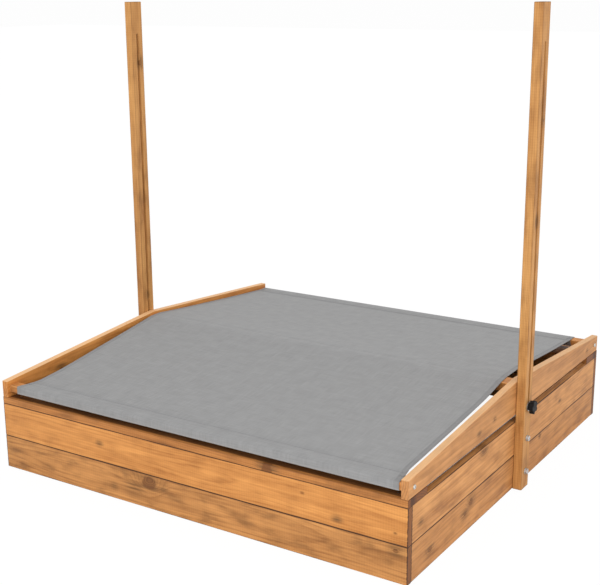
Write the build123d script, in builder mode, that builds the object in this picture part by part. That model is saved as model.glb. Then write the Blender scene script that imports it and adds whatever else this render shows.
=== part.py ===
from build123d import *
import os

os.makedirs("parts", exist_ok=True)

# A square wooden sandbox with a pitched fabric cover. The cover frame hangs on two
# clamp bolts that run in the slots of two posts, so it lifts and tilts as a roof.
# Millimetres. X runs along the front, Y to the rear, Z up, origin under the middle.

# ---- box: plank walls between corner blocks, with a flat seat at front and rear ----
box_width = 1200.0
box_depth = 1200.0
plank_height = 90.0
plank_rows = 2
board_thickness = 18.0
board_round = 1.5
block_side = 40.0
seat_width = 88.0
seat_thickness = 18.0

# ---- posts: bolted outside the side walls, slotted for the clamp bolts ----
post_height = 1200.0
post_thickness = 24.0
post_width = 45.0
post_round = 2.0
post_top_chamfer = 1.0
slot_width = 9.0
slot_top_margin = 88.0
slot_foot_clearance = 3.0

# ---- cover frame: two tapered gable boards joined by three bars ----
cover_rest_gap = 0.3
gable_thickness = 18.0
gable_end_height = 44.0
gable_peak_height = 90.0
gable_post_gap = 0.5
pivot_rise = 22.0
edge_bar_depth = 30.0
edge_bar_height = 18.0
edge_bar_inset = 10.0
edge_bar_rise = 22.0
middle_bar_depth = 45.0
middle_bar_height = 24.0
middle_bar_drop = 10.0
bar_round = 2.0

# ---- fabric: one sheet with a sleeve round each edge bar ----
fabric_thickness = 1.5
fabric_clearance = 0.3
fabric_left_reach = 550.0
fabric_right_reach = 565.0

# ---- screws: countersunk in the box and ridge, pan head at the edge bars ----
screw_fit = 0.05
screw_radius = 2.0
screw_head_radius = 4.0
screw_tip = 5.0
screw_stagger = 10.0
wall_screw_bite = 10.0
seat_screw_length = 40.0
seat_screw_spacing = 20.0
middle_bar_screw_length = 60.0
middle_bar_screw_spacing = 24.0
pan_screw_radius = 2.5
pan_screw_length = 60.0
pan_head_radius = 5.5
pan_head_height = 3.2
recess_span = 4.4
recess_width = 0.9
recess_depth = 1.4

# ---- bolts, nuts and washers, all for an eight millimetre thread ----
bolt_radius = 4.0
bolt_hole_clearance = 0.2
bolt_end_chamfer = 0.8
hex_across_flats = 13.0
hex_head_height = 5.3
hex_corner_chamfer = 0.6
nut_height = 6.5
nut_fit = 0.05
washer_radius = 8.0
washer_thickness = 1.6
bolt_past_nut = 3.0

# ---- clamp at each post: bolt, two washers and a star knob ----
pivot_clearance = 0.1
clamp_play = 0.1
clamp_washer_radius = 12.0
clamp_washer_thickness = 2.0
knob_radius = 17.5
knob_lobes = 5
knob_scallop_radius = 7.0
knob_scallop_circle = 20.0
knob_thickness = 12.0
knob_lobe_round = 2.5
knob_edge_round = 1.5
knob_hub_radius = 9.0
knob_hub_height = 4.0
insert_radius = 6.0
insert_length = 11.0
insert_groove_width = 1.2
insert_groove_depth = 0.6
insert_pocket_fit = 0.05
thread_clearance = 0.05
bolt_short_of_insert = 1.0

# ---- heights and faces that follow from the sizes above ----
wall_height = plank_rows * plank_height
seat_top = wall_height + seat_thickness
inner_half_width = box_width / 2 - board_thickness
inner_half_depth = box_depth / 2 - board_thickness
gable_outer = box_width / 2 - gable_post_gap
gable_inner = gable_outer - gable_thickness
gable_foot = seat_top + cover_rest_gap
pivot_height = gable_foot + pivot_rise
post_inner = box_width / 2
post_outer = post_inner + post_thickness
edge_bar_middle = gable_foot + edge_bar_rise
edge_bar_offset = box_depth / 2 - edge_bar_inset - edge_bar_depth / 2
middle_bar_middle = gable_foot + gable_peak_height - middle_bar_drop - middle_bar_height / 2
row_heights = [(row + 0.5) * plank_height for row in range(plank_rows)]
row_names = ["lower", "upper"] if plank_rows == 2 else [f"row{row}" for row in range(plank_rows)]

UP = Vector(0, 0, 1)
SIDES = {"left": -1, "right": 1}
ENDS = {"front": -1, "rear": 1}


def upright_plane(origin, facing):
    """Plane through origin that faces a level direction, with its own y axis up."""
    return Plane(origin=origin, x_dir=UP.cross(facing), z_dir=facing)


def side_plane(side, x, y, z):
    """Upright plane at height z that faces out of the left (-1) or right (1) side."""
    return upright_plane(Vector(side * x, y, z), Vector(side, 0, 0))


def level_plane(x, y, z):
    """Level plane with its origin at the point given."""
    return Plane(origin=(x, y, z))


def finish(builder, label):
    """Label a finished piece and write it under its own name."""
    builder.part.label = label
    export_step(builder.part, f"parts/{label}.step")


# ------------------------------------------------------------------ fasteners


def driver_recess(top):
    """Crossed driver recess, to be cut into a screw head whose top is at this height."""
    with BuildPart() as recess:
        with BuildSketch(Plane.XY.offset(top)):
            Rectangle(recess_span, recess_width)
            Rectangle(recess_width, recess_span)
        extrude(amount=-recess_depth)
    return recess.part


def countersunk_screw(length):
    """Wood screw with a flush head at z = 0 that runs down to its tip."""
    cone = screw_head_radius - screw_radius
    recess = driver_recess(0)
    with BuildPart() as screw:
        with BuildSketch(Plane.XZ):
            with BuildLine():
                Polyline(
                    (0, 0),
                    (screw_head_radius, 0),
                    (screw_radius, -cone),
                    (screw_radius, screw_tip - length),
                    (0, -length),
                    close=True,
                )
            make_face()
        revolve(axis=Axis.Z)
        add(recess, mode=Mode.SUBTRACT)
    return screw.part


def pan_head_screw(length):
    """Wood screw with a low domed head that stands on z = 0."""
    recess = driver_recess(pan_head_height)
    with BuildPart() as screw:
        with BuildSketch(Plane.XZ):
            with BuildLine():
                Polyline(
                    (0, pan_head_height),
                    (0, -length),
                    (pan_screw_radius, screw_tip - length),
                    (pan_screw_radius, 0),
                    (pan_head_radius, 0),
                    (pan_head_radius, pan_head_height / 3),
                )
                TangentArc(
                    (pan_head_radius, pan_head_height / 3),
                    (pan_head_radius * 0.6, pan_head_height),
                    tangent=(0, 1),
                )
                Line((pan_head_radius * 0.6, pan_head_height), (0, pan_head_height))
            make_face()
        revolve(axis=Axis.Z)
        add(recess, mode=Mode.SUBTRACT)
    return screw.part


def hex_bolt(length):
    """Bolt whose six-sided head stands on z = 0 and whose shank runs down."""
    with BuildPart() as bolt:
        with BuildSketch(Plane.XY):
            RegularPolygon(hex_across_flats / 2, 6, major_radius=False)
        extrude(amount=hex_head_height)
        chamfer(bolt.faces().sort_by(Axis.Z)[-1].edges(), hex_corner_chamfer)
        with BuildSketch(Plane.XY):
            Circle(bolt_radius)
        extrude(amount=-length)
        chamfer(bolt.faces().sort_by(Axis.Z)[0].edges(), bolt_end_chamfer)
    return bolt.part


def hex_nut():
    """Nut that stands on z = 0."""
    with BuildPart() as nut:
        with BuildSketch(Plane.XY):
            RegularPolygon(hex_across_flats / 2, 6, major_radius=False)
        extrude(amount=nut_height)
        chamfer(nut.faces().filter_by(Axis.Z).edges(), hex_corner_chamfer)
        Hole(bolt_radius + nut_fit)
    return nut.part


def washer(outer_radius, thickness):
    """Flat ring that stands on z = 0."""
    with BuildPart() as ring:
        with BuildSketch(Plane.XY):
            Circle(outer_radius)
            Circle(bolt_radius + bolt_hole_clearance, mode=Mode.SUBTRACT)
        extrude(amount=thickness)
    return ring.part


def place_group(label, piece, planes):
    """Copies of one fastener, each standing on its own plane, kept as one group."""
    with BuildPart() as group:
        with Locations(*planes):
            add(piece)
    finish(group, label)


def countersink(planes):
    """Clear a countersunk screw through the piece that its head is let into."""
    with Locations(*planes):
        CounterSinkHole(
            screw_radius + screw_fit,
            screw_head_radius + screw_fit,
            counter_sink_angle=90,
        )


def pilot(planes, radius, depth):
    """Blind hole that a fastener fills, to a depth from its own plane."""
    with Locations(*planes):
        Hole(radius + screw_fit, depth)


# ------------------------------------------------------- where fasteners stand


def wall_screw_planes(end, along_x, heights):
    """Heads of the screws that hold one wall to its two corner blocks.

    The screws of neighbouring walls pass in one block, so they stand staggered in height.
    """
    if along_x:
        inward = Vector(0, -end, 0)
        face = inner_half_depth - block_side
        reach = inner_half_width - block_side / 2
        rise = screw_stagger
    else:
        inward = Vector(-end, 0, 0)
        face = inner_half_width - block_side
        reach = inner_half_depth - block_side / 2
        rise = -screw_stagger
    along = UP.cross(inward)
    return [
        upright_plane(inward * -face + along * (hand * reach) + UP * (height + rise), inward)
        for height in heights
        for hand in (-1, 1)
    ]


def seat_screw_planes(end):
    """Heads of the screws that hold one seat down on its two corner blocks."""
    y = end * (inner_half_depth - block_side / 2)
    x = inner_half_width - block_side / 2
    return [
        level_plane(hand * x, y + step * seat_screw_spacing / 2, seat_top)
        for hand in (-1, 1)
        for step in (-1, 1)
    ]


def post_bolt_planes(side, x):
    """One plane for each bolt of a post, on the face at this distance from the middle."""
    return [side_plane(side, x, 0, height) for height in row_heights]


def edge_bar_screw_planes(end):
    """Heads of the two screws in the ends of an edge bar."""
    y = end * edge_bar_offset
    return [side_plane(side, gable_outer, y, edge_bar_middle) for side in SIDES.values()]


def middle_bar_screw_planes():
    """Heads of the screws in the ends of the middle bar."""
    return [
        side_plane(side, gable_outer, step * middle_bar_screw_spacing / 2, middle_bar_middle)
        for side in SIDES.values()
        for step in (-1, 1)
    ]


def on_side(side, planes):
    """Those planes that stand on the left (-1) or right (1) side."""
    return [plane for plane in planes if plane.origin.X * side > 0]


def on_end(end, planes):
    """Those planes that stand at the front (-1) or rear (1) end."""
    return [plane for plane in planes if plane.origin.Y * end > 0]


wall_screw_length = block_side + wall_screw_bite

# -------------------------------------------------------------------- the box


def wall_plank(label, inner_plane, length, height, screws, bolt_holes):
    """One plank of a wall, laid on the wall's inner plane and built outwards."""
    with BuildPart() as plank:
        with BuildSketch(inner_plane):
            with Locations((0, height)):
                Rectangle(length, plank_height)
        extrude(amount=-board_thickness)
        along = Axis((0, 0, 0), inner_plane.x_dir)
        fillet(plank.edges().filter_by(along), board_round)
        pilot(screws, screw_radius, wall_screw_length)
        for hole in bolt_holes:
            with Locations(hole):
                Hole(bolt_radius + bolt_hole_clearance)
    finish(plank, label)


for wall, end in ENDS.items():
    inner_face = upright_plane(Vector(0, end * inner_half_depth, 0), Vector(0, -end, 0))
    for row, height in zip(row_names, row_heights):
        screws = wall_screw_planes(end, True, [height])
        wall_plank(f"{wall}_plank_{row}", inner_face, box_width, height, screws, [])
    place_group(
        f"{wall}_wall_screws",
        countersunk_screw(wall_screw_length),
        wall_screw_planes(end, True, row_heights),
    )

for wall, side in SIDES.items():
    inner_face = upright_plane(Vector(side * inner_half_width, 0, 0), Vector(-side, 0, 0))
    for row, height in zip(row_names, row_heights):
        screws = wall_screw_planes(side, False, [height])
        bolt_hole = side_plane(side, post_inner, 0, height)
        length = 2 * inner_half_depth
        wall_plank(f"{wall}_plank_{row}", inner_face, length, height, screws, [bolt_hole])
    place_group(
        f"{wall}_wall_screws",
        countersunk_screw(wall_screw_length),
        wall_screw_planes(side, False, row_heights),
    )

for end_name, end in ENDS.items():
    for side_name, side in SIDES.items():
        centre_x = side * (inner_half_width - block_side / 2)
        centre_y = end * (inner_half_depth - block_side / 2)
        end_wall = on_side(side, wall_screw_planes(end, True, row_heights))
        side_wall = on_end(end, wall_screw_planes(side, False, row_heights))
        seat_screws = on_side(side, seat_screw_planes(end))
        with BuildPart() as block:
            with BuildSketch(level_plane(centre_x, centre_y, 0)):
                Rectangle(block_side, block_side)
            extrude(amount=wall_height)
            fillet(block.edges().filter_by(Axis.Z), board_round)
            countersink(end_wall + side_wall)
            pilot(seat_screws, screw_radius, seat_screw_length)
        finish(block, f"{end_name}_{side_name}_corner_block")

for end_name, end in ENDS.items():
    seat_middle = end * (box_depth - seat_width) / 2
    with BuildPart() as seat:
        with BuildSketch(level_plane(0, seat_middle, wall_height)):
            Rectangle(box_width, seat_width)
        extrude(amount=seat_thickness)
        fillet(seat.edges().filter_by(Axis.X), board_round)
        countersink(seat_screw_planes(end))
    finish(seat, f"{end_name}_seat")
    place_group(
        f"{end_name}_seat_screws",
        countersunk_screw(seat_screw_length),
        seat_screw_planes(end),
    )

# ------------------------------------------------------------------ the posts

slot_foot = pivot_height - bolt_radius - slot_foot_clearance
slot_top = post_height - slot_top_margin
slot_length = slot_top - slot_foot
slot_middle = (slot_top + slot_foot) / 2

post_bolt_head = post_outer + washer_thickness
post_nut_face = inner_half_width - washer_thickness
post_bolt_length = post_bolt_head - post_nut_face + nut_height + bolt_past_nut

for side_name, side in SIDES.items():
    post_middle = side * (post_inner + post_thickness / 2)
    with BuildPart() as post:
        with BuildSketch(level_plane(post_middle, 0, 0)):
            Rectangle(post_thickness, post_width)
        extrude(amount=post_height)
        fillet(post.edges().filter_by(Axis.Z), post_round)
        chamfer(post.faces().sort_by(Axis.Z)[-1].edges(), post_top_chamfer)
        with BuildSketch(side_plane(side, post_inner, 0, slot_middle)):
            SlotOverall(slot_length, slot_width, rotation=90)
        extrude(amount=post_thickness, mode=Mode.SUBTRACT)
        with Locations(*post_bolt_planes(side, post_outer)):
            Hole(bolt_radius + bolt_hole_clearance)
    finish(post, f"{side_name}_post")

    ring = washer(washer_radius, washer_thickness)
    bolts = post_bolt_planes(side, post_bolt_head)
    outer_rings = post_bolt_planes(side, post_outer)
    inner_rings = post_bolt_planes(side, post_nut_face)
    nuts = post_bolt_planes(side, post_nut_face - nut_height)
    place_group(f"{side_name}_post_bolts", hex_bolt(post_bolt_length), bolts)
    place_group(f"{side_name}_post_washers", ring, outer_rings + inner_rings)
    place_group(f"{side_name}_post_nuts", hex_nut(), nuts)

# ------------------------------------------------------------ the cover frame

edge_screws = edge_bar_screw_planes(ENDS["front"]) + edge_bar_screw_planes(ENDS["rear"])
ridge_screws = middle_bar_screw_planes()

for side_name, side in SIDES.items():
    with BuildPart() as gable:
        with BuildSketch(side_plane(side, gable_inner, 0, gable_foot)):
            with BuildLine():
                Polyline(
                    (-box_depth / 2, 0),
                    (box_depth / 2, 0),
                    (box_depth / 2, gable_end_height),
                    (0, gable_peak_height),
                    (-box_depth / 2, gable_end_height),
                    close=True,
                )
            make_face()
        extrude(amount=gable_thickness)
        fillet(gable.faces().filter_by(Axis.X).edges(), board_round)
        with Locations(side_plane(side, gable_outer, 0, pivot_height)):
            Hole(bolt_radius + pivot_clearance)
        pilot(on_side(side, edge_screws), pan_screw_radius, gable_thickness)
        countersink(on_side(side, ridge_screws))
    finish(gable, f"{side_name}_gable")


def cover_bar(label, y, z, depth, height, screws, hole_radius, screw_length):
    """One bar between the gable boards, with pilot holes in its ends."""
    with BuildPart() as bar:
        with BuildSketch(Plane(origin=(-gable_inner, y, z), x_dir=(0, 1, 0), z_dir=(1, 0, 0))):
            Rectangle(depth, height)
        extrude(amount=2 * gable_inner)
        fillet(bar.edges().filter_by(Axis.X), bar_round)
        pilot(screws, hole_radius, screw_length)
    finish(bar, label)


for end_name, end in ENDS.items():
    screws = edge_bar_screw_planes(end)
    cover_bar(
        f"{end_name}_bar",
        end * edge_bar_offset,
        edge_bar_middle,
        edge_bar_depth,
        edge_bar_height,
        screws,
        pan_screw_radius,
        pan_screw_length,
    )
    place_group(f"{end_name}_bar_screws", pan_head_screw(pan_screw_length), screws)

cover_bar(
    "middle_bar",
    0,
    middle_bar_middle,
    middle_bar_depth,
    middle_bar_height,
    ridge_screws,
    screw_radius,
    middle_bar_screw_length,
)
place_group("middle_bar_screws", countersunk_screw(middle_bar_screw_length), ridge_screws)

# ----------------------------------------------------------------- the fabric

edge_top = edge_bar_middle + edge_bar_height / 2 + fabric_clearance
ridge_top = middle_bar_middle + middle_bar_height / 2 + fabric_clearance
sleeve_depth = edge_bar_depth + 2 * fabric_clearance
sleeve_height = edge_bar_height + 2 * fabric_clearance
sheet_outline = [
    (edge_bar_offset + sleeve_depth / 2, edge_top),
    (edge_bar_offset - sleeve_depth / 2, edge_top),
    (middle_bar_depth / 2, ridge_top),
    (-middle_bar_depth / 2, ridge_top),
    (sleeve_depth / 2 - edge_bar_offset, edge_top),
    (-sleeve_depth / 2 - edge_bar_offset, edge_top),
]
sheet_upper = [(y, z + fabric_thickness) for y, z in reversed(sheet_outline)]

with BuildPart() as cover_fabric:
    with BuildSketch(Plane.YZ.offset(-fabric_left_reach)):
        with BuildLine():
            Polyline(*sheet_outline, *sheet_upper, close=True)
        make_face()
        with Locations((-edge_bar_offset, edge_bar_middle), (edge_bar_offset, edge_bar_middle)):
            Rectangle(sleeve_depth + 2 * fabric_thickness, sleeve_height + 2 * fabric_thickness)
            Rectangle(sleeve_depth, sleeve_height, mode=Mode.SUBTRACT)
    extrude(amount=fabric_left_reach + fabric_right_reach)
finish(cover_fabric, "cover_fabric")

# ----------------------------------------------------- the clamps and knobs

head_washer_face = gable_inner - clamp_play - washer_thickness
knob_washer_face = post_outer + clamp_play
knob_face = knob_washer_face + clamp_washer_thickness + clamp_play
clamp_bolt_end = knob_face + insert_length - bolt_short_of_insert
clamp_bolt_length = clamp_bolt_end - head_washer_face

head_ring = washer(washer_radius, washer_thickness)
knob_ring = washer(clamp_washer_radius, clamp_washer_thickness)

for side_name, side in SIDES.items():
    inward = Vector(-side, 0, 0)
    head = upright_plane(Vector(side * head_washer_face, 0, pivot_height), inward)
    place_group(f"{side_name}_clamp_bolt", hex_bolt(clamp_bolt_length), [head])

    with BuildPart() as clamp_washers:
        with Locations(side_plane(side, head_washer_face, 0, pivot_height)):
            add(head_ring)
        with Locations(side_plane(side, knob_washer_face, 0, pivot_height)):
            add(knob_ring)
    finish(clamp_washers, f"{side_name}_clamp_washers")

    hub_plane = side_plane(side, knob_face, 0, pivot_height)
    grip_plane = side_plane(side, knob_face + knob_hub_height, 0, pivot_height)
    outward = Axis((0, 0, 0), (side, 0, 0))
    with BuildPart() as knob:
        with BuildSketch(grip_plane) as star:
            Circle(knob_radius)
            with PolarLocations(knob_scallop_circle, knob_lobes):
                Circle(knob_scallop_radius, mode=Mode.SUBTRACT)
            fillet(star.vertices(), knob_lobe_round)
        extrude(amount=knob_thickness)
        fillet(knob.faces().filter_by(outward).edges(), knob_edge_round)
        with BuildSketch(hub_plane):
            Circle(knob_hub_radius)
        extrude(amount=knob_hub_height)
        with Locations(upright_plane(hub_plane.origin, inward)):
            Hole(insert_radius + insert_pocket_fit, insert_length)
    finish(knob, f"{side_name}_knob")

    groove_middle = knob_face + insert_length / 2
    with BuildPart() as insert:
        with BuildSketch(hub_plane):
            Circle(insert_radius)
        extrude(amount=insert_length)
        with BuildSketch(side_plane(side, groove_middle - insert_groove_width / 2, 0, pivot_height)):
            Circle(insert_radius)
            Circle(insert_radius - insert_groove_depth, mode=Mode.SUBTRACT)
        extrude(amount=insert_groove_width, mode=Mode.SUBTRACT)
        with Locations(hub_plane):
            Hole(bolt_radius + thread_clearance)
    finish(insert, f"{side_name}_knob_insert")
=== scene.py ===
"""Looks of a square sandbox with a pitched fabric cover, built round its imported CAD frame.

The boards, the posts and the hardware keep their CAD shapes and get their finishes here. The fabric cover is
modelled here, as one sheet with its sewing, and stands for the plain CAD solid.
"""

import logging
import math
from collections.abc import Sequence
from dataclasses import dataclass, field, replace
from enum import Enum

import bpy
from mathutils import Matrix, Vector, noise


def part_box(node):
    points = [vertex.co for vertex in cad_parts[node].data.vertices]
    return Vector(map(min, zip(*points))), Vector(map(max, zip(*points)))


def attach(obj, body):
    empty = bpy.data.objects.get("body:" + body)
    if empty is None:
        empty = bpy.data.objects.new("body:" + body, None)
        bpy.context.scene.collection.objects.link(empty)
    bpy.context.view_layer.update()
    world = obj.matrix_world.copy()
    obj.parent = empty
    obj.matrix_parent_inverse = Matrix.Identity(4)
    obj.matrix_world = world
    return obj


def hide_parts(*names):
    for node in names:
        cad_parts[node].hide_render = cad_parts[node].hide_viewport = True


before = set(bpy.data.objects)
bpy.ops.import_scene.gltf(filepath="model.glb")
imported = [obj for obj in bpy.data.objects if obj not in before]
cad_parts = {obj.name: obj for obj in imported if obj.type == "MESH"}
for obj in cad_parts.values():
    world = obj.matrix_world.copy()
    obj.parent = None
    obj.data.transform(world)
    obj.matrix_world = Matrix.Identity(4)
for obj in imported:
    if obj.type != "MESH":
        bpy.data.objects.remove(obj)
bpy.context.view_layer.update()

MM = 0.001
FULL_TURN = 2 * math.pi

Place = tuple[float, float, float]
Input = bpy.types.Node | bpy.types.NodeSocket | Sequence[float] | float | None

log = logging.getLogger("sandbox")


def linear(colour: str) -> tuple[float, float, float, float]:
    """Turn an sRGB hex colour into a linear one.

    Args:
        colour: Colour such as "#d08a4a".

    Returns:
        Linear red, green, blue and an alpha of one.
    """
    shares = [int(colour[start : start + 2], 16) / 255 for start in (1, 3, 5)]
    return (*[s / 12.92 if s <= 0.04045 else ((s + 0.055) / 1.055) ** 2.4 for s in shares], 1.0)


class Shader:
    """Node tree of one new material."""

    def __init__(self, name: str) -> None:
        """Start an empty material.

        Args:
            name: Name of the material.
        """
        self.material = bpy.data.materials.new(name)
        self.material.use_nodes = True
        self.material.node_tree.nodes.clear()

    def add(self, kind: str, *inputs: Input, sockets: dict[str, Input] | None = None,
            stops: Sequence[tuple[float, str]] = (), **settings: object) -> bpy.types.Node:
        """Add one node with its settings and links.

        Args:
            kind: Node type without its ShaderNode prefix.
            inputs: What goes into each socket in turn: a node, a socket, a value, or None.
            sockets: The same, by socket name.
            stops: Places and hex colours of a colour ramp, in order.
            settings: Properties of the node, by name.

        Returns:
            The new node.
        """
        node = self.material.node_tree.nodes.new(f"ShaderNode{kind}")
        for name, value in settings.items():
            setattr(node, name, value)
        for key, value in [*enumerate(inputs), *(sockets or {}).items()]:
            if isinstance(value, bpy.types.Node):
                value = value.outputs[0]
            if isinstance(value, bpy.types.NodeSocket):
                self.material.node_tree.links.new(value, node.inputs[key])
            elif value is not None:
                node.inputs[key].default_value = value
        for number, (place, colour) in enumerate(stops):
            if number > 1:
                node.color_ramp.elements.new(place)
            node.color_ramp.elements[number].position = place
            node.color_ramp.elements[number].color = linear(colour)
        return node

    def close(self, surface: bpy.types.Node) -> bpy.types.Material:
        """Send a surface shader to the output.

        Args:
            surface: The shader node that dresses the surface.

        Returns:
            The finished material.
        """
        self.add("OutputMaterial", surface)
        return self.material


def paint(node: str, material: bpy.types.Material) -> None:
    """Give a CAD node its material.

    Args:
        node: Name of the CAD node.
        material: The material that all its faces take.
    """
    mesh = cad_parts[node].data
    mesh.materials.clear()
    mesh.materials.append(material)
    log.info("%s wears %s", node, material.name)


class Lie(Enum):
    """How a board lies: the axes of its grain, of its width and through its thickness."""

    FRONT_WALL = ("X", "Z", "Y")
    SIDE_WALL = ("Y", "Z", "X")
    LEVEL = ("X", "Y", "Z")
    UPRIGHT = ("Z", "Y", "X")


@dataclass(frozen=True)
class Knot:
    """A knot through a board, or a smudge where its radius is 0. Millimetres from the board's middle."""

    along: float
    across: float
    radius: float
    cloud: float


@dataclass(frozen=True)
class Fleck:
    """Marks drawn out along the grain: their length and width in millimetres, and how much they darken it."""

    length: float
    width: float
    detail: float
    offset: float
    share: float = 0.0


FLECKS = {
    "drift": Fleck(420, 80, 1, 0),
    "streak": Fleck(170, 5.5, 3, 11, share=0.42),
    "band": Fleck(420, 22, 2, 37, share=0.36),
    "fibre": Fleck(38, 0.9, 2, 23, share=0.24),
    "patch": Fleck(64, 30, 4, 51, share=0.36),
}


class Board:
    """One board's new material, with the board's own axes in millimetres from its middle."""

    seed_step: Place = (3.7, 1.3, 2.1)

    def __init__(self, node: str, lie: Lie, seed: float) -> None:
        """Lay the axes and draw the flecks along the grain.

        Args:
            node: Name of the board's CAD node.
            lie: How the board lies.
            seed: Number that picks this board's own stretch of the patterns.
        """
        low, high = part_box(node)
        order = ["XYZ".index(axis) for axis in lie.value]
        self.half = [(high[axis] - low[axis]) / 2 / MM for axis in order]
        self.seed = seed
        self.shader = Shader(f"stained_pine_{node}")
        add = self.shader.add
        axes = add("SeparateXYZ", add("TexCoord").outputs["Object"])
        swapped = add("CombineXYZ", *[axes.outputs[axis] for axis in order])
        shift = tuple(-(low[axis] + high[axis]) / 2 / MM for axis in order)
        self.local = add("Mapping", swapped, shift, None, (1 / MM, 1 / MM, 1 / MM))
        self.along, self.across, self.through = add("SeparateXYZ", self.local).outputs
        self.flecks = {name: self.draw(fleck) for name, fleck in FLECKS.items()}

    def draw(self, fleck: Fleck) -> bpy.types.Node:
        """Draw one kind of fleck all over the board.

        Args:
            fleck: The kind of fleck.

        Returns:
            The noise, from 0 to 1.
        """
        shift = [self.seed * step for step in self.seed_step]
        shift[0] += fleck.offset
        scale = (1 / fleck.length, 1 / fleck.width, 1 / fleck.width)
        moved = self.shader.add("Mapping", self.local, shift, None, scale)
        return self.shader.add("TexNoise", sockets={"Vector": moved, "Scale": 1.0, "Detail": fleck.detail})


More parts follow.
